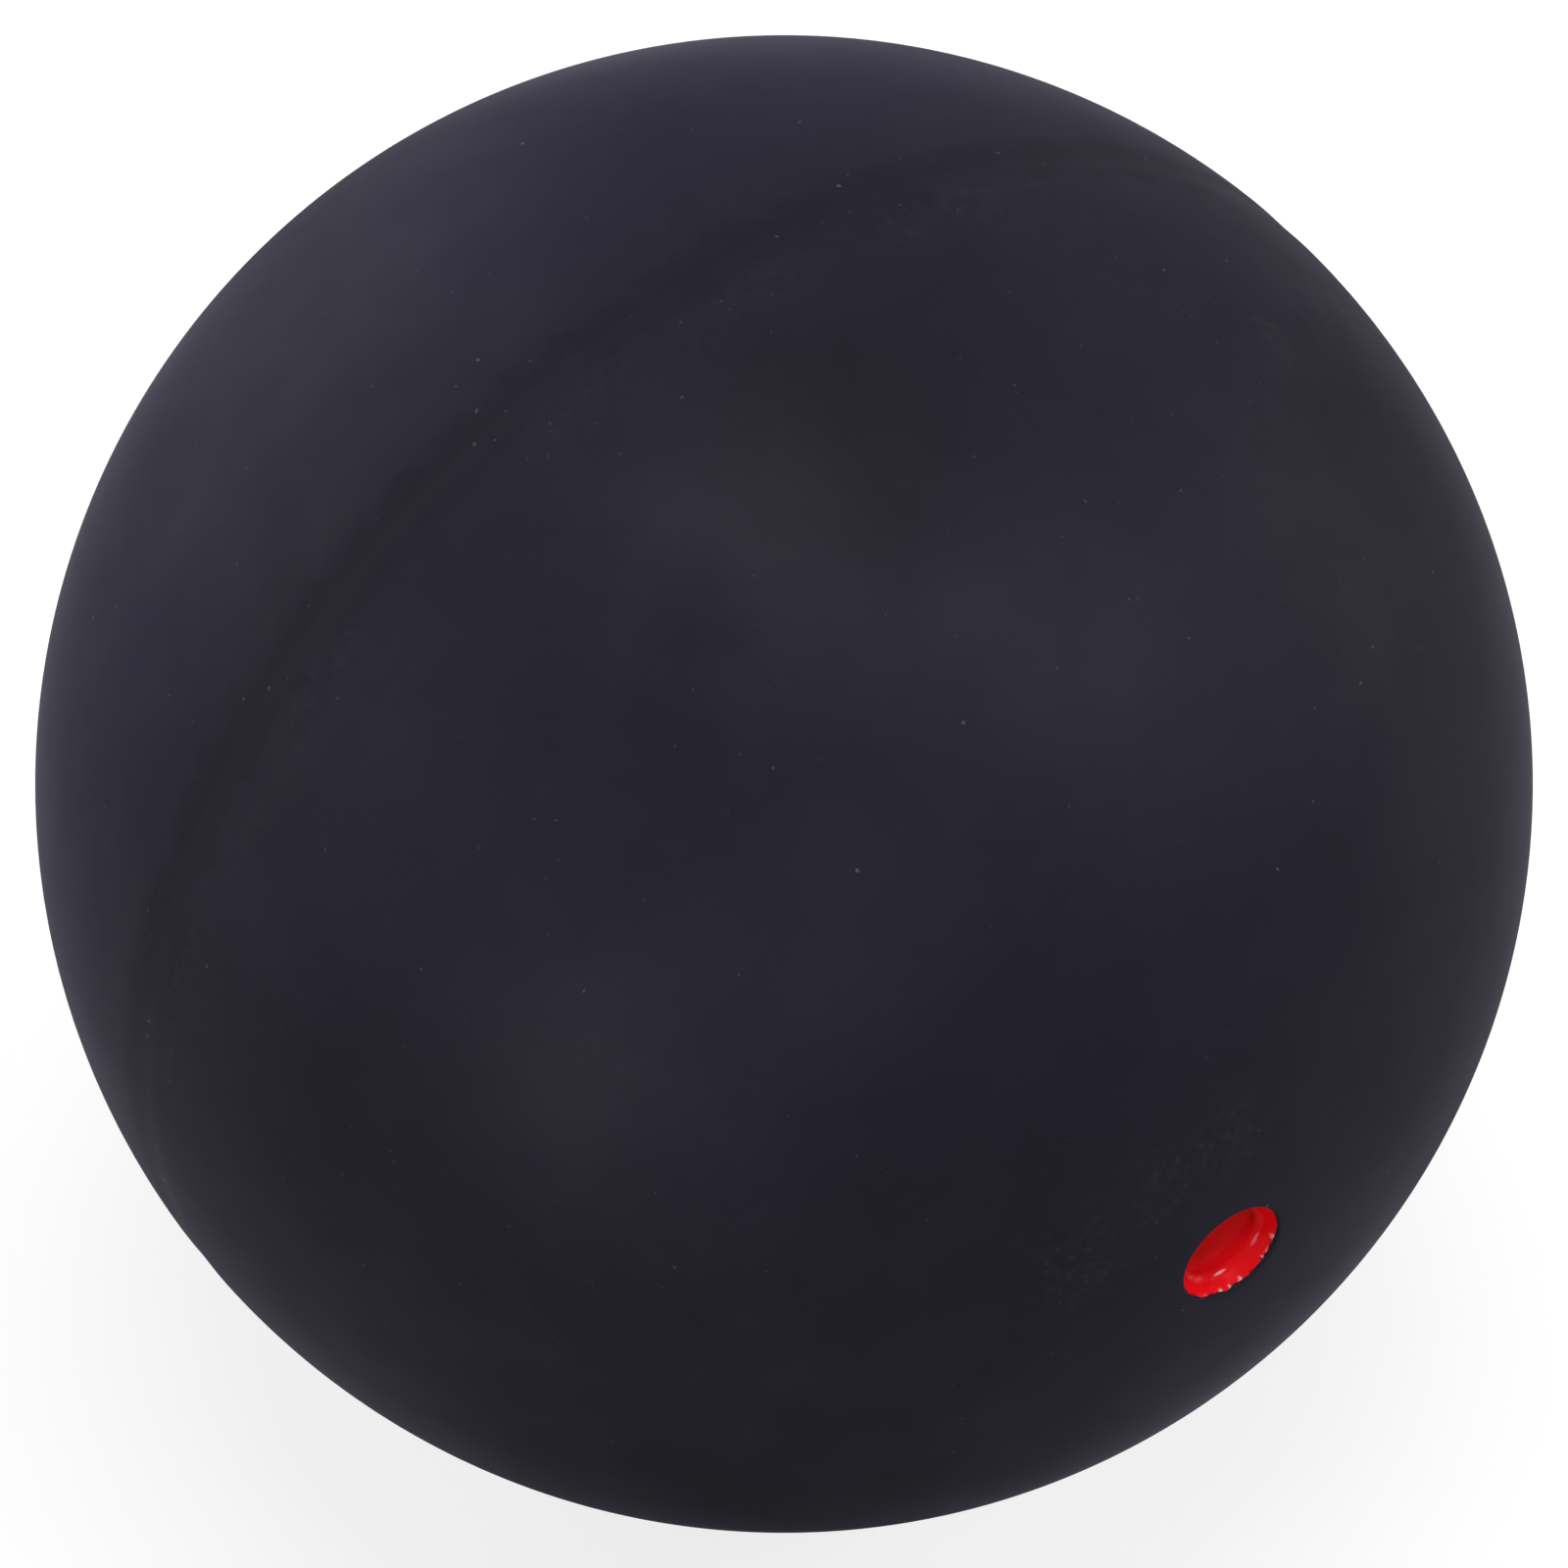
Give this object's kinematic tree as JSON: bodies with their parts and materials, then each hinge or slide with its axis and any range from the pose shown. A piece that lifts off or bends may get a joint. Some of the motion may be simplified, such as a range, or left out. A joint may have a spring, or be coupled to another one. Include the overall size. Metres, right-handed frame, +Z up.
{
  "type": "squash ball",
  "caption": "Smooth hollow rubber ball of cemented half shells, with a seam round its equator and a sunken red speed spot at one pole.",
  "frame": {"origin": "centre of the ball, which is also the centre of its cavity", "axes": "+Z up; the ball's own axis lies along Y, with the red spot facing -Y and the seam in the plane y = 0; X is to the right as the spot is faced"},
  "size_m": [0.04, 0.0399, 0.04],
  "materials": {
    "ball_rubber": "matte",
    "rubber_cement": "matte",
    "red_enamel": "gloss"
  },
  "bodies": {
    "root": {"spotted_half_shell": "ball_rubber", "plain_half_shell": "ball_rubber", "seam_cement": "rubber_cement", "red_spot": "red_enamel"}
  },
  "joints": []
}
